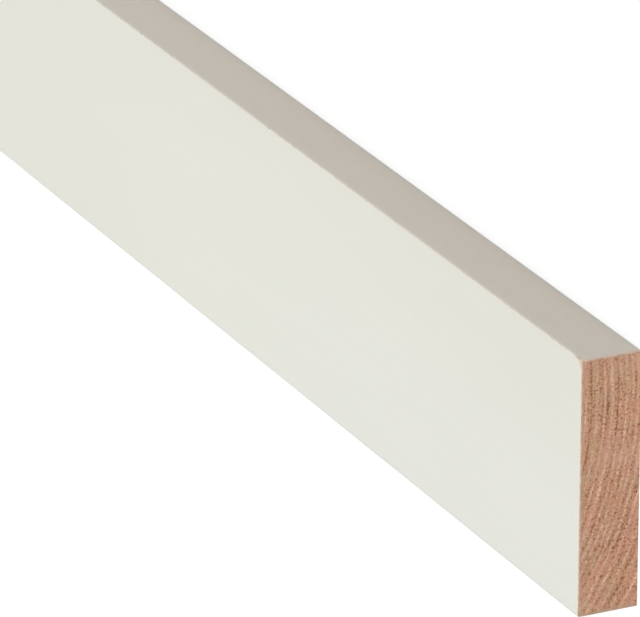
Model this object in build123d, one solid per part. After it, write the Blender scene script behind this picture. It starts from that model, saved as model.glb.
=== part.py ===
from build123d import *
import os

# A rectangular trim strip: one length of pine, planed to a flat rectangular section, with its
# long corners eased, painted on its face and edges and sawn square at both ends.
# It lies on its back. +X runs along the strip, +Y across it and +Z out of the painted face.
# The origin is the centre of the back face. All sizes are in millimetres.

strip_length = 2400.0  # a length that trim is sold in
strip_width = 58.0  # across the painted face
strip_thickness = 14.0  # from the back face to the painted face
face_easing = 0.5  # radius of the two long corners beside the painted face
back_easing = 0.3  # radius of the two long corners beside the back face


def strip_section():
    """The section across the strip: a rectangle on the back plane with all four corners eased."""
    outline = Pos(0, strip_thickness / 2) * Rectangle(strip_width, strip_thickness)
    corners = outline.vertices().group_by(Axis.Y)
    eased_back = fillet(corners[0], back_easing)
    face_corners = eased_back.vertices().group_by(Axis.Y)[-1]
    return fillet(face_corners, face_easing)


def trim_strip():
    """The section carried from one sawn end to the other."""
    # The section's own X lies along the part's Y, and its own Y along the part's Z.
    far_end = Plane(origin=(-strip_length / 2, 0, 0), x_dir=(0, 1, 0), z_dir=(1, 0, 0))
    return extrude(far_end * strip_section(), strip_length)


os.makedirs("parts", exist_ok=True)
export_step(trim_strip(), "parts/trim_strip.step")
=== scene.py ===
import bpy
import numpy as np
from mathutils import Matrix, Vector


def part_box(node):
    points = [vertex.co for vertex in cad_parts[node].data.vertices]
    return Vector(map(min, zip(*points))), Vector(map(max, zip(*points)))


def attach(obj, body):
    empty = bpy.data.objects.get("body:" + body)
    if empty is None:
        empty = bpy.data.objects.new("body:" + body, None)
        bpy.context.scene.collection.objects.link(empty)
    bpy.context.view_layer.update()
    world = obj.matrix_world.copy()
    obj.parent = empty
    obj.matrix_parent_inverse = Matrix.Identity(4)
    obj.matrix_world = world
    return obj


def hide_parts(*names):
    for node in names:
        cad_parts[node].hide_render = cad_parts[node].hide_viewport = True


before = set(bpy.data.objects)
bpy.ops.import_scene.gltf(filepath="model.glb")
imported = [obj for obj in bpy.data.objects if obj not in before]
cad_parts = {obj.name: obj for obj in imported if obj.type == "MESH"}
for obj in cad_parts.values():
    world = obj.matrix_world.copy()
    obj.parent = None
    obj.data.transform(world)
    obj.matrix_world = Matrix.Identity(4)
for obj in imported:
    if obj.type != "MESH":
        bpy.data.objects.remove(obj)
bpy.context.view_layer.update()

# A painted pine trim strip, lying on its bare back. +X runs to the near sawn end, +Y across the
# strip and +Z out of the painted face. One closed mesh stands for the CAD strip.
mm = 0.001
stripLow, stripHigh = np.array(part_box("trim_strip"))
stripSize = stripHigh - stripLow
stripLength, stripWidth, stripThickness = stripSize
halfLength = stripLength / 2
halfWidth = stripWidth / 2
print("frame read: strip of", [round(float(size) / mm, 1) for size in stripSize], "mm")

# The camera looks down on the near end and is turned on its side.
camera = {
    "aim": (1.07488, -0.00466, 0.014),
    "azimuth": 23.9822,  # degrees from +X towards +Y
    "elevation": 23.6484,
    "roll": -100.0270,
    "distance": 1.57073,
    "lens": 396.54,
    "sensor": 36,
    "clip": (0.05, 300),
}


def direction(azimuth, elevation):
    # The unit vector that points that many degrees round from +X towards +Y, and up
    azimuth, elevation = np.radians([azimuth, elevation])
    level = np.cos(elevation)
    return np.array([level * np.cos(azimuth), level * np.sin(azimuth), np.sin(elevation)])


def makeCamera():
    azimuth, roll = np.radians([camera["azimuth"], camera["roll"]])
    back = direction(camera["azimuth"], camera["elevation"])
    levelRight = np.array([-np.sin(azimuth), np.cos(azimuth), 0])
    right = np.cos(roll) * levelRight + np.sin(roll) * np.cross(back, levelRight)
    place = np.array(camera["aim"]) + camera["distance"] * back
    data = bpy.data.cameras.new("view")
    data.lens = camera["lens"]
    data.sensor_width = camera["sensor"]
    data.clip_start, data.clip_end = camera["clip"]
    view = bpy.data.objects.new("view", data)
    axes = np.eye(4)
    axes[:3] = np.stack([right, np.cross(back, right), back, place], 1)
    view.matrix_world = Matrix(axes.tolist())
    bpy.context.scene.collection.objects.link(view)
    bpy.context.scene.camera = view


makeCamera()
bpy.context.scene.view_settings.view_transform = "Standard"
print("camera placed")

# How the tree grew. The pith is a line above the painted face, so the rings are arcs on the ends.
tree = {
    "pithSide": 20 * mm,  # from the strip's middle towards +Y
    "pithHeight": 84 * mm,  # above the back face
    "innerRadius": 60.3 * mm,  # where the innermost ring begins, above the painted face
    # From there to beyond the back: each ring's width in mm, and how dark its outer line is
    "ringWidths": (
        2.3, 2.5, 2.2, 2.6, 2.6, 2.6, 1.0, 2.6, 1.3, 1.5, 1.2,
        1.4, 1.8, 1.9, 2.7, 2.0, 2.3, 1.9, 2.6, 2.2, 2.4,
    ),
    "lineDepths": (
        0.6, 0.5, 0.7, 0.5, 0.9, 0.5, 0.8, 1.0, 0.6, 0.65, 0.6,
        0.6, 0.55, 0.6, 0.7, 0.6, 0.5, 0.6, 0.9, 0.6, 0.6,
    ),
    # How pink (up to 1) or olive (down to -1) each ring's wood is, halfway between its lines
    "ringHues": (
        0.3, -0.2, 0.2, 0.5, 0.8, -0.6, 0.4, 0.2, -0.3, 0.1, -0.4,
        0.3, 0.0, 0.4, -0.3, 0.3, 0.6, -0.2, 0.2, -0.5, 0.1,
    ),
    "taper": 0.0016,  # how much the radius grows for each length along the trunk
    "wander": 1.1 * mm,  # sideways drift of the pith line
    "wanderUp": 0.4,  # how much it rises for each length that it drifts sideways
    "wanderWaves": (0.9, 0.47, 0.26),  # wavelengths along the trunk, in metres
    "ripple": 0.25 * mm,  # faster waves of the rings' radii
    "rippleWaves": (0.11, 0.067),
    "wayRadius": 80,  # in mm, where the way round the pith line is measured
}

# The strip's own shape.
shape = {
    "faceEasing": 0.22 * mm,  # radius of the long corners beside the painted face
    "backEasing": (0.25 * mm, 0.45 * mm),  # the same beside the back, at -Y and at +Y
    "cornerSteps": 8,
    "capStep": 0.205 * mm,  # between points on a sawn end
    "capStepsPerSkinStep": 14,  # the long faces need fewer points
    "capRows": 70,  # from the back to the painted face
    "capRowsPerSkinRow": 10,
    "rowStep": 5 * mm,  # between sections along the strip
    # Closer sections beside a sawn end, in mm from it, and closer columns beside the painted
    # corners, in cap steps from them
    "endRows": (0.15, 0.3, 0.5, 0.75, 1.0, 1.3, 1.7, 2.2, 2.8, 3.6, 4.6),
    "cornerColumns": (2, 3, 5, 7, 10),
    "cornerWear": 0.05 * mm,  # how unevenly the long corners are eased
    "cornerWearWaves": (0.071, 0.031, 0.0173, 0.0112),  # wavelengths along the strip, in metres
    "cornerWearReach": (0.7 * mm, 0.15 * mm),  # from the corner: where it begins and is whole
    # The painted face's four end corners are knocked back, the one nearest the camera the most.
    "knocks": {(1, 1): 0.55 * mm, (1, -1): 0.12 * mm, (-1, 1): 0.35 * mm, (-1, -1): 0.2 * mm},
    "knockWay": (1.0, 0.12, 0.5),  # how much of it goes along, across and down
    "knockReach": 1.8 * mm,
    "backMargin": 0.1 * mm,  # how far from its long edges the bare back begins
}

# The two cuts across the grain.
sawCut = {
    "rimDrop": 0.10 * mm,  # the cut's outer edge is broken by this much
    "rimReach": 0.26 * mm,
    "softwoodDrop": 0.05 * mm,  # soft early wood lies below the hard late wood
    "hardReach": (0.2, 0.04),  # in rings from a ring's line: where that begins and is whole
    "markPitch": 0.43 * mm,  # blade marks
    "markSlant": 0.02,  # across the strip for each length up the cut
    "markDepth": 0.012 * mm,
    "markPatch": 3.1 * mm,  # size of the patches that have them
    "roughness": 0.018 * mm,
    "roughCells": (0.37 * mm, 0.21 * mm),
    "pitSpacing": 0.86 * mm,
    "pitRadius": 0.22 * mm,
    "pitSizes": (0.6, 1.35),  # the least and the most, times that radius
    "pitWidth": 0.75,  # for each length that a pit has along the ring
    "pitDepth": 0.13 * mm,
    "pitShare": 0.6,  # of the places that hold a pit
    "pitPatch": 4 * mm,  # size of the patches with more or fewer of them
}

# Where the faces lie on the map that they are baked to, which is 1 wide and 1 high.
bakeMap = {
    "margin": 0.01,
    "width": 0.98,
    "nearCut": 0.01,  # the lower sides of the near cut, the far cut and the long faces
    "farCut": 0.26,
    "longFaces": 0.51,
    "cutHeight": 0.235,
    "longHeight": 0.48,
    "drawnOut": 40 * mm,  # the stretch of the long faces beside each cut that is drawn out
    "drawnOutShare": 0.15,  # the part of the width that it takes up
}


def smoothStep(low, high, value):
    # Rises from 0 at low to 1 at high as 3t^2 - 2t^3
    t = np.clip((value - low) / (high - low), 0, 1)
    return t * t * (3 - 2 * t)


def slowWaves(x, wavelengths, seed):
    # The sum of sines of these wavelengths, each with its own phase, over the root of their number
    phases = np.random.default_rng(seed).uniform(0, 2 * np.pi, len(wavelengths))
    total = sum(np.sin(2 * np.pi * x / w + p) for w, p in zip(wavelengths, phases))
    return total / len(wavelengths) ** 0.5


def patchNoise(u, v, cell, seed):
    # Random values on a square lattice, blended smoothly between its corners, from 0 to 1
    side = 64
    table = np.random.default_rng(seed).uniform(0, 1, (side, side))
    gridU, gridV = np.floor(u / cell).astype(int), np.floor(v / cell).astype(int)
    partU, partV = smoothStep(0, 1, u / cell - gridU), smoothStep(0, 1, v / cell - gridV)

    def at(stepU, stepV):
        return table[(gridU + stepU) % side, (gridV + stepV) % side]

    lower = at(0, 0) * (1 - partU) + at(1, 0) * partU
    upper = at(0, 1) * (1 - partU) + at(1, 1) * partU
    return lower * (1 - partV) + upper * partV


def wavesFromEnd(x, wavelengths, seed):
    # Slow waves along the strip, less what they come to at the near end
    return slowWaves(x, wavelengths, seed) - slowWaves(halfLength, wavelengths, seed)


def ringPlace(x, y, z):
    # Distance from the pith line, which drifts along the trunk, plus a ripple and the trunk's
    # taper; and the way round that line, as a length at one radius
    drift = tree["wander"] * wavesFromEnd(x, tree["wanderWaves"], 11)
    ripple = tree["ripple"] * wavesFromEnd(x, tree["rippleWaves"], 12)
    across = y - tree["pithSide"] - drift
    down = tree["pithHeight"] + tree["wanderUp"] * drift - z
    radius = np.hypot(across, down) + ripple + tree["taper"] * (halfLength - x)
    return radius, np.arctan2(across, down) * tree["wayRadius"] * mm


def ringAge(radius):
    # Rings counted outwards: a whole number at each dark line and even parts between two lines;
    # how dark the line is there; and the wood's hue
    lines = tree["innerRadius"] + np.concatenate([[0], np.cumsum(tree["ringWidths"])]) * mm
    age = np.interp(radius, lines, np.arange(len(lines)))
    depth = np.interp(age, np.arange(1, len(lines)), tree["lineDepths"])
    return age, depth, np.interp(age, np.arange(len(lines) - 1) + 0.5, tree["ringHues"])


def faceHeight(y):
    # The painted face's height at y: flat, then a quarter circle down at each long corner
    easing = shape["faceEasing"]
    over = np.maximum(0, np.abs(y) - (halfWidth - easing))
    return stripThickness - easing + np.sqrt(np.maximum(0, easing**2 - over**2))


def backHeight(y):
    # The back face's height at y: flat, then a quarter circle up at each long corner
    easing = np.where(y < 0, *shape["backEasing"])
    over = np.maximum(0, np.abs(y) - (halfWidth - easing))
    return easing - np.sqrt(np.maximum(0, easing**2 - over**2))


def columnsAcross():
    # Places across the strip: even angles round each corner and even steps between the corners
    angles = np.linspace(0, np.pi / 2, shape["cornerSteps"] + 1)
    flat = halfWidth - shape["faceEasing"]
    corner = flat + shape["faceEasing"] * np.sin(angles)
    each = shape["capStepsPerSkinStep"]
    steps = round(2 * flat / shape["capStep"] / each) * each
    return np.concatenate([-corner[::-1], np.linspace(-flat, flat, steps + 1)[1:-1], corner])


def knock(x, y, z):
    # How far a point is knocked back: the nearest end corner's own depth, times a smooth fall from
    # 1 there to 0 a set reach away, to the power of 1.5
    away = (halfLength - np.abs(x), halfWidth - np.abs(y), stripThickness - z)
    apart = np.sqrt(sum(part**2 for part in away))
    depth = np.zeros_like(x)
    for (end, side), most in shape["knocks"].items():
        depth = np.where((x * end > 0) & (y * side > 0), most, depth)
    return depth * smoothStep(shape["knockReach"], 0, apart) ** 1.5


def eased(x, y, z):
    # Moves points near a long painted corner inwards along its diagonal, by the wear times 0.4
    # plus half of the waves, where that is above 0, and knocks off the end corners
    hit = knock(x, y, z)
    for side, seed in ((1, 21), (-1, 22)):
        reach = np.hypot(y - side * halfWidth, z - stripThickness)
        wave = slowWaves(x, shape["cornerWearWaves"], seed)
        depth = shape["cornerWear"] * np.maximum(0, 0.4 + 0.5 * wave)
        depth = depth * smoothStep(*shape["cornerWearReach"], reach) * 0.7  # its part each way
        y, z = y - side * depth, z - depth
    along, across, down = shape["knockWay"]
    return x - np.sign(x) * along * hit, y - np.sign(y) * across * hit, z - down * hit


def pits(u, v, seed):
    # Torn pores: each lattice cell may hold one oval pit at a random place, and the value is
    # 1 at a pit's middle, falling to 0 at its rim
    cell = sawCut["pitSpacing"]
    side = 128
    rng = np.random.default_rng(seed)
    shiftU, shiftV = rng.uniform(0.1, 0.9, (2, side, side))
    size = rng.uniform(*sawCut["pitSizes"], (side, side)) * sawCut["pitRadius"]
    kept = rng.uniform(0, 1, (side, side)) < sawCut["pitShare"]
    gridU, gridV = np.floor(u / cell).astype(int), np.floor(v / cell).astype(int)
    deepest = np.zeros_like(u)
    for stepU in (-1, 0, 1):
        for stepV in (-1, 0, 1):
            i, j = (gridU + stepU) % side, (gridV + stepV) % side
            apartU = u / cell - (gridU + stepU + shiftU[i, j])
            apartV = v / cell - (gridV + stepV + shiftV[i, j])
            apart = np.hypot(apartU, apartV * sawCut["pitWidth"]) * cell
            deepest = np.maximum(deepest, kept[i, j] * smoothStep(1.3, 0.2, apart / size[i, j]))
    return deepest


def sawnSurface(x, y, z, seed):
    # Depth below the cut's plane: broken rim + soft early wood + blade marks + roughness + pits
    radius, along = ringPlace(x, y, z)
    age, lineDepth = ringAge(radius)[:2]
    line = smoothStep(*sawCut["hardReach"], np.abs(age - np.round(age))) * lineDepth
    pitted = smoothStep(0.1, 0.4, patchNoise(radius, along, sawCut["pitPatch"], seed + 1))
    pit = pits(radius, along, seed) * pitted
    marks = np.sin(2 * np.pi * (y + sawCut["markSlant"] * z) / sawCut["markPitch"])
    marks = marks * smoothStep(0.45, 0.8, patchNoise(y, z, sawCut["markPatch"], seed + 2))
    coarse, fine = sawCut["roughCells"]
    rough = patchNoise(y, z, coarse, seed + 3) + 0.5 * patchNoise(y, z, fine, seed + 4)
    rim = np.minimum(halfWidth - np.abs(y), np.minimum(faceHeight(y) - z, z - backHeight(y)))
    inside = smoothStep(0, sawCut["rimReach"], rim)
    depth = sawCut["softwoodDrop"] * (1 - line) + sawCut["markDepth"] * (1 + marks)
    depth = depth + sawCut["roughness"] * rough + sawCut["pitDepth"] * pit
    return sawCut["rimDrop"] * (1 - inside) + depth * inside, pit * inside


def sawnEnd(side, columns, seed):
    # One cut as a grid: across the strip by columns, and from the back up to the painted face
    rows = np.linspace(0, 1, shape["capRows"] + 1)
    y = np.repeat(columns[:, None], len(rows), 1)
    z = backHeight(y) + (faceHeight(y) - backHeight(y)) * rows
    x = np.full_like(y, side * halfLength)
    depth, pit = sawnSurface(x, y, z, seed)
    worn = eased(x, y, z)
    return np.stack([worn[0] - side * depth, *worn[1:]], -1).reshape(-1, 3), pit.ravel()


def outline(last, rows):
    # The cut's outline as grid places: along the painted face, down the +Y edge, back and up
    top = [(j, rows) for j in range(last)]
    right = [(last, i) for i in range(rows, 0, -1)]
    bottom = [(j, 0) for j in range(last, 0, -1)]
    left = [(0, i) for i in range(rows)]
    return np.array(top + right + bottom + left)


def outlineKept(loop, last, rows):
    # Which places of the outline the long faces use: all of each corner's, and a few between
    corner, each = shape["cornerSteps"], shape["capStepsPerSkinStep"]
    j, i = loop.T
    fromCorner = np.minimum(j, last - j) - corner
    evenly = (fromCorner <= 1) | ((j - corner) % each == 0)
    close = np.isin(fromCorner, shape["cornerColumns"])
    onEdge = (i <= 1) | (i >= rows - 1) | (i % shape["capRowsPerSkinRow"] == 0)
    closeOnEdge = np.isin(rows - i, shape["cornerColumns"])
    return np.where(i == rows, evenly | close, np.where(i == 0, evenly, onEdge | closeOnEdge))


def sectionsAlong():
    # Where sections of the long faces lie: close beside the cuts, then evenly
    near = np.array(shape["endRows"]) * mm
    inner = halfLength - near[-1]
    middle = np.linspace(-inner, inner, round(2 * inner / shape["rowStep"]) + 1)
    return np.concatenate([near[:-1] - halfLength, middle, (halfLength - near[:-1])[::-1]])


def addAttribute(mesh, name, kind, values):
    field = {"FLOAT": "value", "FLOAT_VECTOR": "vector"}[kind]
    attribute = mesh.attributes.new(name, kind, "POINT")
    attribute.data.foreach_set(field, np.asarray(values, dtype=np.float32).ravel())


def fanned(edge, first, last):
    # Triangles between a run of points and the two points that lie beside its ends: the run's
    # first half meets the first of the two, and the rest meets the last
    middle = len(edge) // 2
    halves = ((edge[:middle + 1], first), (edge[middle:], last))
    joined = [(a, b, tip) for run, tip in halves for a, b in zip(run, run[1:])]
    return [*joined, (edge[middle], last, first)]


def sharpenRims(mesh, onRim):
    # An edge is sharp where both of its points are on a cut's rim
    ends = np.empty(2 * len(mesh.edges), dtype=np.int32)
    mesh.edges.foreach_get("vertices", ends)
    sharp = mesh.attributes.new("sharp_edge", "BOOLEAN", "EDGE")
    sharp.data.foreach_set("value", onRim[ends.reshape(-1, 2)].all(1))


def buildStrip():
    columns = columnsAcross()
    last, rows = len(columns) - 1, shape["capRows"]
    capSize = len(columns) * (rows + 1)
    farPoints, farPits = sawnEnd(-1, columns, 40)
    nearPoints, nearPits = sawnEnd(1, columns, 60)
    loop = outline(last, rows)
    loopPoints = loop[:, 0] * (rows + 1) + loop[:, 1]
    kept = np.flatnonzero(outlineKept(loop, last, rows))
    around = len(kept)
    stations = sectionsAlong()
    y = columns[loop[kept, 0]]
    z = backHeight(y) + (faceHeight(y) - backHeight(y)) * loop[kept, 1] / rows
    x = np.repeat(stations[:, None], around, 1)
    skinPoints = np.stack(eased(x, y + 0 * x, z + 0 * x), -1).reshape(-1, 3)
    points = np.concatenate([farPoints, nearPoints, skinPoints])
    pit = np.concatenate([farPits, nearPits, np.zeros(x.size)])

    # Faces, outward: the two cuts, the long faces, and beside each cut one row of triangles in
    # which a point of the long faces meets several of the cut's points.
    grid = np.arange(capSize).reshape(last + 1, rows + 1)
    cut = np.stack([grid[:-1, :-1], grid[1:, :-1], grid[1:, 1:], grid[:-1, 1:]], -1).reshape(-1, 4)
    ring = 2 * capSize + np.arange(x.size).reshape(x.shape)
    after = np.roll(ring, -1, 1)
    skin = np.stack([ring[:-1], ring[1:], after[1:], after[:-1]], -1).reshape(-1, 4)
    faces = cut[:, ::-1].tolist() + (cut + capSize).tolist() + skin.tolist()
    following = [*kept[1:], kept[0] + len(loop)]
    spans = [np.arange(a, b + 1) % len(loop) for a, b in zip(kept, following)]
    for k, span in enumerate(spans):
        edge = loopPoints[span]
        far = fanned(edge.tolist(), int(ring[0, k]), int(after[0, k]))
        near = fanned((edge + capSize).tolist(), int(ring[-1, k]), int(after[-1, k]))
        faces += [face[::-1] for face in far] + near
    mesh = bpy.data.meshes.new("painted_strip")
    mesh.from_pydata(points.tolist(), [], faces)

    # Slots: 0 paint, 1 the sawn ends, 2 the bare back
    backSpan = (loop[kept, 1] == 0) & (np.roll(loop[kept, 1], -1) == 0)
    inner = halfWidth - shape["backMargin"]
    backSpan &= (np.abs(y) < inner) & (np.abs(np.roll(y, -1)) < inner)
    skinSlots = np.where(backSpan, 2, 0)
    joining = [2 * len(span) for span in spans]
    cutSlots = np.full(2 * len(cut), 1)
    longSlots = np.tile(skinSlots, len(stations) - 1)
    slots = np.concatenate([cutSlots, longSlots, np.repeat(skinSlots, joining)])
    mesh.polygons.foreach_set("material_index", slots.astype(np.int32))
    mesh.polygons.foreach_set("use_smooth", np.ones(len(slots), dtype=bool))

    onRim = np.zeros(len(points), dtype=bool)
    onRim[loopPoints] = onRim[loopPoints + capSize] = True
    sharpenRims(mesh, onRim)

    # One layout of all faces: the two cuts, large, and the long faces unrolled, with the stretch
    # beside each cut drawn out for its finer detail.
    place = points[:, 1] / stripWidth + 0.5
    upDown = points[:, 2] / stripThickness
    wayRound = np.concatenate([[0], np.cumsum(np.hypot(np.diff(y), np.diff(z)))])
    closing = wayRound[-1] + np.hypot(y[0] - y[-1], z[0] - z[-1])
    wayPoints = np.zeros(len(points))
    wayPoints[2 * capSize:] = np.tile(wayRound / closing, len(stations))
    corners = np.empty(len(mesh.loops), dtype=np.int32)
    mesh.loops.foreach_get("vertex_index", corners)
    sizes = np.empty(len(mesh.polygons), dtype=np.int32)
    mesh.polygons.foreach_get("loop_total", sizes)
    faceOf = np.repeat(np.arange(len(sizes)), sizes)
    onCut = slots[faceOf] == 1
    farCut = onCut & (faceOf < len(cut))
    # On the long faces, a rim point's way round is that of the same outline place. In the last
    # span, the points that it shares with the first lie at 1.
    allWay = np.interp(np.arange(len(loop)), [*kept, len(loop)], [*(wayRound / closing), 1.0])
    wayPoints[loopPoints] = allWay
    wayPoints[loopPoints + capSize] = allWay
    cutSpans = np.full(len(cutSlots), -1)
    longSpans = np.tile(np.arange(around), len(stations) - 1)
    spanOf = np.concatenate([cutSpans, longSpans, np.repeat(np.arange(around), joining)])
    way = wayPoints[corners]
    way = np.where((spanOf[faceOf] == around - 1) & (way < 0.5), 1.0, way)
    drawnFrom = halfLength - bakeMap["drawnOut"]
    marks = [-halfLength, -drawnFrom, drawnFrom, halfLength]
    share = bakeMap["drawnOutShare"]
    along = np.interp(points[corners, 0], marks, [0, share, 1 - share, 1])
    u = bakeMap["margin"] + bakeMap["width"] * np.where(onCut, place[corners], along)
    cutBottom = np.where(farCut, bakeMap["farCut"], bakeMap["nearCut"])
    cutV = cutBottom + bakeMap["cutHeight"] * upDown[corners]
    v = np.where(onCut, cutV, bakeMap["longFaces"] + bakeMap["longHeight"] * way)
    layout = mesh.uv_layers.new(name="OFBake")
    layout.data.foreach_set("uv", np.stack([u, v], -1).astype(np.float32).ravel())

    radius, alongRing = ringPlace(*points.T)
    age, lineDepth, hue = ringAge(radius)
    addAttribute(mesh, "ringAge", "FLOAT", age)
    addAttribute(mesh, "lineDepth", "FLOAT", lineDepth)
    addAttribute(mesh, "ringHue", "FLOAT", hue)
    addAttribute(mesh, "pit", "FLOAT", pit)
    addAttribute(mesh, "ringPlace", "FLOAT_VECTOR", np.stack([radius, alongRing, points[:, 0]], -1))
    strip = bpy.data.objects.new("painted_strip", mesh)
    bpy.context.scene.collection.objects.link(strip)
    triangles = int((sizes - 2).sum())
    print("strip made:", len(points), "points,", triangles, "triangles")
    return strip


def fromScreen(red, green, blue):
    # A colour as a picture shows it, 0 to 255, as the shader's light values, by the sRGB curve
    part = np.array([red, green, blue]) / 255
    return (*np.where(part <= 0.04045, part / 12.92, ((part + 0.055) / 1.055) ** 2.4).tolist(), 1)


def addNode(graph, kind, inputs=None, **settings):
    made = graph.nodes.new(kind)
    for name, value in settings.items():
        setattr(made, name, value)
    for name, value in (inputs or {}).items():
        if isinstance(value, bpy.types.NodeSocket):
            graph.links.new(value, made.inputs[name])
        else:
            made.inputs[name].default_value = value
    return made


def calc(graph, operation, *values):
    return addNode(graph, "ShaderNodeMath", dict(enumerate(values)), operation=operation).outputs[0]


def ramp(graph, value, low, high, toLow=0.0, toHigh=1.0):
    # Between low and high, the value is turned smoothly into the range from toLow to toHigh
    inputs = {"Value": value, "From Min": low, "From Max": high, "To Min": toLow, "To Max": toHigh}
    return addNode(graph, "ShaderNodeMapRange", inputs, interpolation_type="SMOOTHSTEP").outputs[0]


def blend(graph, amount, first, second):
    inputs = {0: amount, 6: first, 7: second}
    return addNode(graph, "ShaderNodeMix", inputs, data_type="RGBA").outputs[2]


def noise(graph, place, scale, detail):
    inputs = {"Vector": place, "Scale": scale, "Detail": detail}
    return addNode(graph, "ShaderNodeTexNoise", inputs).outputs[0]


def shaded(graph, colour, shade):
    # The colour times one value
    inputs = {0: colour, 3: shade}
    return addNode(graph, "ShaderNodeVectorMath", inputs, operation="SCALE").outputs[0]


def addRelief(graph, shader, height):
    bump = addNode(graph, "ShaderNodeBump", {"Height": height, "Distance": 1.0, "Strength": 1.0})
    graph.links.new(bump.outputs[0], shader.inputs["Normal"])


def stretched(graph, place, scales):
    return addNode(graph, "ShaderNodeMapping", {"Vector": place, "Scale": scales}).outputs[0]


def attribute(graph, name, output):
    return addNode(graph, "ShaderNodeAttribute", attribute_name=name).outputs[output]


def objectPlace(graph):
    return addNode(graph, "ShaderNodeTexCoord").outputs["Object"]


def newGroup(name, outputs):
    group = bpy.data.node_groups.new(name, "ShaderNodeTree")
    for label in outputs:
        group.interface.new_socket(label, in_out="OUTPUT", socket_type="NodeSocketFloat")
    return group


def useGroup(graph, group):
    return addNode(graph, "ShaderNodeGroup", node_tree=group).outputs


def newMaterial(name):
    material = bpy.data.materials.new(name)
    material.use_nodes = True
    graph = material.node_tree
    return material, graph, graph.nodes["Principled BSDF"]


def sectionGroup():
    # Distances in millimetres: in from the nearer long edge, in from the nearer sawn end, down
    # from the +Y edge and down from the painted face
    group = newGroup("section_places", ("FromEdge", "FromEnd", "FromTop", "FromFace"))
    end = group.nodes.new("NodeGroupOutput")
    parts = addNode(group, "ShaderNodeSeparateXYZ", {0: objectPlace(group)}).outputs
    starts = {
        "FromEdge": (halfWidth, calc(group, "ABSOLUTE", parts["Y"])),
        "FromEnd": (halfLength, calc(group, "ABSOLUTE", parts["X"])),
        "FromTop": (halfWidth, parts["Y"]),
        "FromFace": (stripThickness, parts["Z"]),
    }
    for name, (start, place) in starts.items():
        away = calc(group, "SUBTRACT", start, place)
        group.links.new(calc(group, "MULTIPLY", away, 1 / mm), end.inputs[name])
    return group


def ringGroup():
    # Line: 1 on a ring's dark line, falling off within a sixth of a ring each side, times that
    # line's own depth, and broken up along the ring. Late: rises through the ring's last third
    # and drops at its line, times the same depth. Pale: 1 halfway between two lines.
    group = newGroup("growth_rings", ("Line", "Late", "Pale"))
    end = group.nodes.new("NodeGroupOutput")
    place = attribute(group, "ringPlace", "Vector")
    waver = noise(group, stretched(group, place, (1.0, 0.35, 0.02)), 900.0, 3.0)
    age = calc(group, "MULTIPLY_ADD", waver, 0.3, attribute(group, "ringAge", "Fac"))
    part = calc(group, "FRACT", calc(group, "SUBTRACT", age, 0.15))
    away = calc(group, "MINIMUM", part, calc(group, "SUBTRACT", 1.0, part))
    depth = attribute(group, "lineDepth", "Fac")
    breaks = noise(group, stretched(group, place, (1.0, 0.25, 0.02)), 1300.0, 2.0)
    depth = calc(group, "MULTIPLY", depth, ramp(group, breaks, 0.3, 0.6, 0.35, 1.1))
    line = calc(group, "MULTIPLY", ramp(group, away, 0.17, 0.02), depth)
    group.links.new(line, end.inputs["Line"])
    late = calc(group, "MULTIPLY", ramp(group, part, 0.62, 0.96), ramp(group, part, 1.0, 0.97))
    group.links.new(calc(group, "MULTIPLY", late, depth), end.inputs["Late"])
    group.links.new(ramp(group, away, 0.28, 0.46), end.inputs["Pale"])
    return group


sectionPlaces = sectionGroup()
growthRings = ringGroup()

# The paint: a satin trim coat, darker and warmer on the narrow edges, partly as a thinner coat and
# partly as painted warm shade.
paintLook = {
    "face": fromScreen(223, 223.9, 213.8),
    "cool": fromScreen(225.5, 226.7, 219.5),  # painted light: the face brighter and cooler near a cut, away from +Y
    # the narrow edges: a thinner coat and painted warm shade
    "edge": fromScreen(218, 214, 203),
    "edgeAbove": fromScreen(218.5, 217, 205.5),  # the same beside the face
    "edgeShadeBelow": fromScreen(206, 212, 205),  # painted shade, greyer and darker, beside the back
    "creamy": fromScreen(224, 222, 211.3),  # the face beside the +Y corner
    "arris": fromScreen(244, 243, 233),  # a painted highlight along the corner itself
    "raggedShade": fromScreen(200, 196, 185),  # painted shade in a ragged line along that corner
    "lowCornerShade": fromScreen(218, 218.5, 211),  # painted shade along the face's -Y corner
    "rim": fromScreen(234, 224, 206),  # a warm painted highlight along the face's edge beside a cut
    "frayed": fromScreen(203, 184, 166),  # that edge itself
    "worn": fromScreen(207, 194, 178),  # thin paint outside the rubbed, rounded end corners
    "wornRadius": 3.0,  # mm
    "burr": fromScreen(223, 199, 182),  # torn fibres where the edges meet a cut
    "roughness": (0.40, 0.52),
    "fibreHeight": 0.010 * mm,  # the grain that shows through the coat
    "peelHeight": 0.006 * mm,  # the coat's own fine unevenness
}

# Where each of them begins and where it is whole, in mm.
paintReach = {
    "coolAlong": (260.0, 20.0),  # from the nearer sawn end
    "coolAcross": (5.0, 45.0),  # from the +Y edge, as are the next three
    "creamy": (1.6, 0.2),
    "arris": (0.2, 0.0),
    "raggedShade": (0.15, 0.0),
    "lowCornerShade": (0.8, 0.4),  # from the -Y edge
    "atEnd": (3.6, 2.0),  # from the nearer sawn end, for the rim and its fraying
    "rim": (1.4, 0.0),  # in from the face's outline beside a cut, as is the next
    "frayed": (0.0, -0.15),
    "worn": (-0.15, -0.35),  # in from the rounded end corner, so that it lies outside
    "edge": (0.2, 0.95),  # down from the face, as are the next two
    "edgeAlone": (0.3, 0.5),  # past the face's ragged painted shade and worn corners
    "edgeAbove": (1.0, 2.6),  # where it begins to fade and where it is gone
    "edgeShadeBelow": (1.1, 0.5),  # up from the back
    "burr": (0.6, 0.2),  # from the nearer sawn end
}


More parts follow.
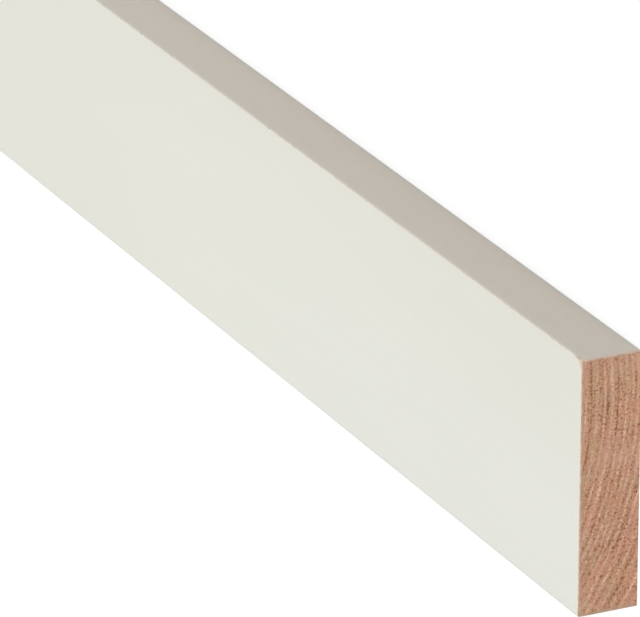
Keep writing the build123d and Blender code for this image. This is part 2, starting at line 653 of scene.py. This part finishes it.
def paintMaterial():
    material, graph, shader = newMaterial("satin_paint")
    place = objectPlace(graph)
    edges = useGroup(graph, sectionPlaces)
    fibre = noise(graph, stretched(graph, place, (0.03, 1.0, 1.0)), 900.0, 4.0)
    peel = noise(graph, place, 850.0, 2.0)
    cloud = noise(graph, stretched(graph, place, (0.3, 1.0, 1.0)), 28.0, 3.0)
    # Inside the rounded end corner: its radius less the distance from the circle's middle, which
    # is the root of the sum of the squares of how far a place lies past that middle each way
    radius = paintLook["wornRadius"]
    squares = []
    for name in ("FromEnd", "FromTop"):
        past = calc(graph, "MAXIMUM", calc(graph, "SUBTRACT", radius, edges[name]), 0.0)
        squares.append(calc(graph, "MULTIPLY", past, past))
    inside = calc(graph, "SUBTRACT", radius, calc(graph, "SQRT", calc(graph, "ADD", *squares)))
    # The face: brighter and cooler as painted light away from +Y near a cut, creamy beside +Y, a
    # painted highlight on that corner and painted shade along the other, a warm painted highlight
    # along its rim, and frayed where the peel's noise eats into that rim
    coolAlong = ramp(graph, edges["FromEnd"], *paintReach["coolAlong"])
    coolAcross = ramp(graph, edges["FromTop"], *paintReach["coolAcross"])
    cool = calc(graph, "MULTIPLY", coolAlong, coolAcross)
    colour = blend(graph, cool, paintLook["face"], paintLook["cool"])
    # creamy tint, then a painted highlight on the +Y corner
    for name in ("creamy", "arris"):
        amount = ramp(graph, edges["FromTop"], *paintReach[name])
        colour = blend(graph, amount, colour, paintLook[name])
    reach = [stripWidth / mm - away for away in paintReach["lowCornerShade"]]
    colour = blend(graph, ramp(graph, edges["FromTop"], *reach), colour, paintLook["lowCornerShade"])
    rim = calc(graph, "MINIMUM", inside, calc(graph, "MULTIPLY", edges["FromEnd"], 1.2))
    atEnd = ramp(graph, edges["FromEnd"], *paintReach["atEnd"])
    tint = calc(graph, "MULTIPLY", ramp(graph, rim, *paintReach["rim"], 0.0, 0.95), atEnd)
    # a warm painted highlight along the face's edge beside a cut
    colour = blend(graph, tint, colour, paintLook["rim"])
    frayed = calc(graph, "MULTIPLY_ADD", peel, -0.6, rim)
    frayed = calc(graph, "MULTIPLY", ramp(graph, frayed, *paintReach["frayed"], 0.0, 0.8), atEnd)
    colour = blend(graph, frayed, colour, paintLook["frayed"])
    # The narrow edges, which the face turns into round the corner: darker and warmer than the face,
    # partly a thinner coat and partly painted warm shade, paler beside the face, and greyer with
    # painted shade beside the back
    past = ramp(graph, edges["FromFace"], *paintReach["edgeAbove"])
    edge = blend(graph, past, paintLook["edgeAbove"], paintLook["edge"])
    reach = [stripThickness / mm - away for away in paintReach["edgeShadeBelow"]]
    edge = blend(graph, ramp(graph, edges["FromFace"], *reach), edge, paintLook["edgeShadeBelow"])
    colour = blend(graph, ramp(graph, edges["FromFace"], *paintReach["edge"]), colour, edge)
    # Painted shade in a ragged line along the +Y corner, where a noise reaches past a place's
    # distance from the corner, on the face alone, and in the same way torn fibres beside a cut, on
    # the edges alone
    edgeAlone = ramp(graph, edges["FromFace"], *paintReach["edgeAlone"])
    faceAlone = calc(graph, "SUBTRACT", 1.0, edgeAlone)
    raggedNoise = noise(graph, place, 330.0, 3.0)
    cornerShade = calc(graph, "MULTIPLY_ADD", raggedNoise, -1.5, calc(graph, "ADD", edges["FromTop"], 1.05))
    cornerShade = calc(graph, "MULTIPLY", ramp(graph, cornerShade, *paintReach["raggedShade"]), faceAlone)
    colour = blend(graph, cornerShade, colour, paintLook["raggedShade"])
    tear = noise(graph, place, 700.0, 3.0)
    torn = calc(graph, "MULTIPLY_ADD", tear, -1.6, calc(graph, "ADD", edges["FromEnd"], 0.6))
    torn = calc(graph, "MULTIPLY", ramp(graph, torn, *paintReach["burr"], 0.0, 0.9), edgeAlone)
    colour = blend(graph, torn, colour, paintLook["burr"])
    # Faint streaks and clouds over all of it, and last the wood that shows in the worn corners
    streak = ramp(graph, fibre, 0.3, 0.7, 0.995, 1.005)
    shade = calc(graph, "MULTIPLY", streak, ramp(graph, cloud, 0.25, 0.75, 0.985, 1.012))
    colour = shaded(graph, colour, shade)
    worn = calc(graph, "MULTIPLY_ADD", peel, -0.4, inside)
    worn = calc(graph, "MULTIPLY", ramp(graph, worn, *paintReach["worn"], 0.0, 0.9), faceAlone)
    colour = blend(graph, worn, colour, paintLook["worn"])
    roughness = ramp(graph, peel, 0.3, 0.7, *paintLook["roughness"])
    graph.links.new(colour, shader.inputs["Base Color"])
    graph.links.new(roughness, shader.inputs["Roughness"])
    height = calc(graph, "MULTIPLY", fibre, paintLook["fibreHeight"])
    height = calc(graph, "MULTIPLY_ADD", peel, paintLook["peelHeight"], height)
    addRelief(graph, shader, height)
    return material


# The sawn ends: fresh cut pine, pinkish brown. The tone runs from dark through wood to pale.
cutLook = {
    "dark": fromScreen(133, 81, 48),
    "wood": fromScreen(180.3, 138.5, 112),
    "pale": fromScreen(224, 187, 163),
    "pink": fromScreen(197, 145, 120),
    "olive": fromScreen(184, 147, 112),
    "dry": fromScreen(198, 166, 142),  # patches of it
    "clouds": 0.2,  # how much broad patches shift each colour channel
    "fringe": fromScreen(204, 185, 167),  # paint drawn into the cut beside the painted faces
    "shadedFringeBelow": fromScreen(178, 155, 135),  # the same along the -Y edge, darker with painted shade
    "damp": fromScreen(172, 143, 121),  # the wood just inside that
    "fineHeight": 0.07 * mm,  # of the finest roughness, as relief alone
}

# What each mark on the sawn ends adds to the tone.
cutMarks = {
    "line": -0.23,
    "late": -0.10,
    "pale": 0.16,
    "bands": 0.4,
    "patches": 0.28,
    "streaks": 0.63,
    "fine": 0.42,
    "rays": 0.27,
    "pit": -0.32,
}


def cutMaterial():
    material, graph, shader = newMaterial("sawn_end_grain")
    place = attribute(graph, "ringPlace", "Vector")
    here = objectPlace(graph)
    rings = useGroup(graph, growthRings)
    edges = useGroup(graph, sectionPlaces)
    fine = noise(graph, here, 1900.0, 3.0)
    marks = {
        "line": rings["Line"],
        "pale": rings["Pale"],
        "bands": noise(graph, stretched(graph, place, (1.0, 0.05, 0.0)), 1200.0, 2.0),
        "patches": noise(graph, here, 130.0, 2.0),
        "streaks": noise(graph, stretched(graph, place, (1.0, 0.1, 0.0)), 2400.0, 2.0),
        "late": rings["Late"],
        "fine": ramp(graph, fine, 0.28, 0.6),
        "rays": noise(graph, stretched(graph, place, (0.25, 1.0, 0.0)), 2300.0, 2.0),
        "pit": ramp(graph, attribute(graph, "pit", "Fac"), 0.1, 0.8),
    }
    # Tone: one half, plus each mark by its weight; the noises count from their middle, and the
    # fine one, which is cut off above, from three quarters
    middles = {"bands": 0.5, "patches": 0.5, "streaks": 0.5, "rays": 0.5, "fine": 0.75}
    tone = 0.5 - sum(middle * cutMarks[name] for name, middle in middles.items())
    for name, mark in marks.items():
        tone = calc(graph, "MULTIPLY_ADD", mark, cutMarks[name], tone)
    dark = blend(graph, ramp(graph, tone, 0.5, 0.0), cutLook["wood"], cutLook["dark"])
    colour = blend(graph, ramp(graph, tone, 0.5, 1.0), dark, cutLook["pale"])
    # Hue: each ring's own, plus four times a slow noise counted from its middle, and broad
    # patches that shift each channel by its own noise
    slow = noise(graph, stretched(graph, place, (1.0, 0.3, 0.0)), 380.0, 2.0)
    slow = calc(graph, "SUBTRACT", slow, 0.5)
    hue = calc(graph, "MULTIPLY_ADD", slow, 4.0, attribute(graph, "ringHue", "Fac"))
    colour = blend(graph, ramp(graph, hue, 0.0, 1.3, 0.0, 0.62), colour, cutLook["pink"])
    colour = blend(graph, ramp(graph, hue, 0.0, -1.3, 0.0, 0.62), colour, cutLook["olive"])
    dry = noise(graph, here, 95.0, 2.0)
    colour = blend(graph, ramp(graph, dry, 0.45, 0.75, 0.0, 0.3), colour, cutLook["dry"])
    clouds = addNode(graph, "ShaderNodeTexNoise", {"Vector": here, "Scale": 220.0}).outputs["Color"]
    inputs = {0: clouds, 1: [cutLook["clouds"]] * 3, 2: [1 - cutLook["clouds"] / 2] * 3}
    shift = addNode(graph, "ShaderNodeVectorMath", inputs, operation="MULTIPLY_ADD").outputs[0]
    inputs = {0: colour, 1: shift}
    colour = addNode(graph, "ShaderNodeVectorMath", inputs, operation="MULTIPLY").outputs[0]
    # Rim: damp wood and then paint beside the face and the two edges, the paint darker with painted
    # shade along the -Y edge, wider in the corners beside the face, their reach broken up by the
    # fine noise
    rim = calc(graph, "MINIMUM", edges["FromEdge"], edges["FromFace"])
    corner = calc(graph, "MAXIMUM", edges["FromEdge"], edges["FromFace"])
    rim = calc(graph, "ADD", rim, ramp(graph, corner, 1.6, 0.3, 0.0, -0.12))
    rim = calc(graph, "MULTIPLY_ADD", calc(graph, "SUBTRACT", fine, 0.5), -0.6, rim)
    below = ramp(graph, edges["FromTop"], stripWidth / mm - 2, stripWidth / mm - 1)
    fringe = blend(graph, below, cutLook["fringe"], cutLook["shadedFringeBelow"])
    colour = blend(graph, ramp(graph, rim, 1.0, 0.4, 0.0, 0.6), colour, cutLook["damp"])
    broken = ramp(graph, noise(graph, here, 700.0, 2.0), 0.38, 0.6, 0.45, 0.95)
    painted = calc(graph, "MULTIPLY", ramp(graph, rim, 0.5, 0.0), broken)
    colour = blend(graph, painted, colour, fringe)
    graph.links.new(colour, shader.inputs["Base Color"])
    graph.links.new(ramp(graph, fine, 0.3, 0.7, 0.72, 0.86), shader.inputs["Roughness"])
    height = calc(graph, "MULTIPLY", fine, cutLook["fineHeight"])
    addRelief(graph, shader, height)
    shader.inputs["Specular IOR Level"].default_value = 0.3
    return material


# The back: planed and left bare, with paint mist along its edges.
backLook = {
    "wood": fromScreen(214, 180, 143),
    "late": fromScreen(184, 136, 94),
    "early": fromScreen(224, 194, 159),
    "mist": fromScreen(226, 222, 210),
    "fibreHeight": 0.03 * mm,
    "markPitch": 2.6 * mm,  # the planer's marks
    "markHeight": 0.004 * mm,
}


def backMaterial():
    material, graph, shader = newMaterial("planed_back")
    here = objectPlace(graph)
    rings = useGroup(graph, growthRings)
    edges = useGroup(graph, sectionPlaces)
    fibre = noise(graph, stretched(graph, here, (0.02, 1.0, 1.0)), 1500.0, 4.0)
    cloud = noise(graph, stretched(graph, here, (0.15, 1.0, 1.0)), 45.0, 3.0)
    # Colour: the rings' pale and late parts, times fine streaks and broad clouds, and mist where
    # a speckling noise and the distance from a long edge, less the clouds, allow it
    early = calc(graph, "MULTIPLY", rings["Pale"], 0.6)
    colour = blend(graph, early, backLook["wood"], backLook["early"])
    colour = blend(graph, rings["Late"], colour, backLook["late"])
    streak = ramp(graph, fibre, 0.25, 0.75, 0.9, 1.08)
    shade = calc(graph, "MULTIPLY", streak, ramp(graph, cloud, 0.2, 0.8, 0.95, 1.04))
    colour = shaded(graph, colour, shade)
    speck = noise(graph, here, 1400.0, 2.0)
    reach = calc(graph, "MULTIPLY_ADD", cloud, -5.0, edges["FromEdge"])
    mist = calc(graph, "MULTIPLY", ramp(graph, reach, 2.0, -2.0), ramp(graph, speck, 0.4, 0.6))
    colour = blend(graph, mist, colour, backLook["mist"])
    graph.links.new(colour, shader.inputs["Base Color"])
    graph.links.new(ramp(graph, fibre, 0.3, 0.7, 0.55, 0.7), shader.inputs["Roughness"])
    # Relief: the grain, plus the planer's marks, whose height is a sine's size along the strip
    parts = addNode(graph, "ShaderNodeSeparateXYZ", {0: here}).outputs
    turn = calc(graph, "MULTIPLY", parts["X"], np.pi / backLook["markPitch"])
    mark = calc(graph, "ABSOLUTE", calc(graph, "SINE", turn))
    height = calc(graph, "MULTIPLY", fibre, backLook["fibreHeight"])
    height = calc(graph, "MULTIPLY_ADD", mark, backLook["markHeight"], height)
    addRelief(graph, shader, height)
    return material


strip = buildStrip()
for make in (paintMaterial, cutMaterial, backMaterial):
    strip.data.materials.append(make())
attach(strip, "root")
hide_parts("trim_strip")
print("materials made")

# Studio: a white floor, an even white surround, one broad lamp over the near end, and a weak
# warm one from the side.
studio = {
    "surround": 0.25,
    "floorColour": 0.85,
    "floorSeen": 0.2,  # the same floor as the camera and mirrors see it, so that shadows stay faint
    "floorGlow": 0.82,  # brings the unshaded floor up to white for them
    "floorHalf": 150,  # half of its side, in metres
    "floorGap": 0.05 * mm,  # below the strip
}

# Each lamp's direction and width in degrees, and what it lends a face turned straight to it.
lamps = {
    "key": {"azimuth": 0, "height": 59, "size": 35, "light": (0.87, 0.87, 0.87)},
    "side": {"azimuth": 90, "height": 12, "size": 40, "light": (0.07, 0.028, 0.005)},
}


def addSun(name, azimuth, height, size, light):
    # A sun whose light on a face turned to it shows a colour at light times its own value
    data = bpy.data.lights.new(name, "SUN")
    data.energy = np.pi * max(light)
    data.color = [part / max(light) for part in light]
    data.angle = np.radians(size)
    sun = bpy.data.objects.new(name, data)
    towards = Vector(direction(azimuth, height))
    sun.rotation_euler = towards.to_track_quat("Z", "Y").to_euler()
    bpy.context.scene.collection.objects.link(sun)


def seenDirectly(graph):
    # 1 for rays from the camera, in mirrors and through glass
    path = addNode(graph, "ShaderNodeLightPath").outputs
    mirrored = calc(graph, "MAXIMUM", path["Is Glossy Ray"], path["Is Transmission Ray"])
    return calc(graph, "MAXIMUM", path["Is Camera Ray"], mirrored)


def makeStudio():
    for name, lamp in lamps.items():
        addSun(name, **lamp)
    world = bpy.context.scene.world or bpy.data.worlds.new("surround")
    bpy.context.scene.world = world
    world.use_nodes = True
    graph = world.node_tree
    strength = ramp(graph, seenDirectly(graph), 0.0, 1.0, studio["surround"], 1.0)
    graph.nodes["Background"].inputs["Color"].default_value = (1, 1, 1, 1)
    graph.links.new(strength, graph.nodes["Background"].inputs["Strength"])

    half, height = studio["floorHalf"], -studio["floorGap"]
    corners = [(-half, -half), (half, -half), (half, half), (-half, half)]
    mesh = bpy.data.meshes.new("floor")
    mesh.from_pydata([(x, y, height) for x, y in corners], [], [(0, 1, 2, 3)])
    floor = bpy.data.objects.new("floor", mesh)
    material, graph, shader = newMaterial("white_floor")
    seen = seenDirectly(graph)
    tones = [(*[studio[name]] * 3, 1) for name in ("floorColour", "floorSeen")]
    graph.links.new(blend(graph, seen, *tones), shader.inputs["Base Color"])
    shader.inputs["Roughness"].default_value = 1
    shader.inputs["Specular IOR Level"].default_value = 0
    shader.inputs["Emission Color"].default_value = (1, 1, 1, 1)
    glow = calc(graph, "MULTIPLY", seen, studio["floorGlow"])
    graph.links.new(glow, shader.inputs["Emission Strength"])
    mesh.materials.append(material)
    bpy.context.scene.collection.objects.link(floor)


makeStudio()
print("studio lit")

bpy.context.view_layer.update()
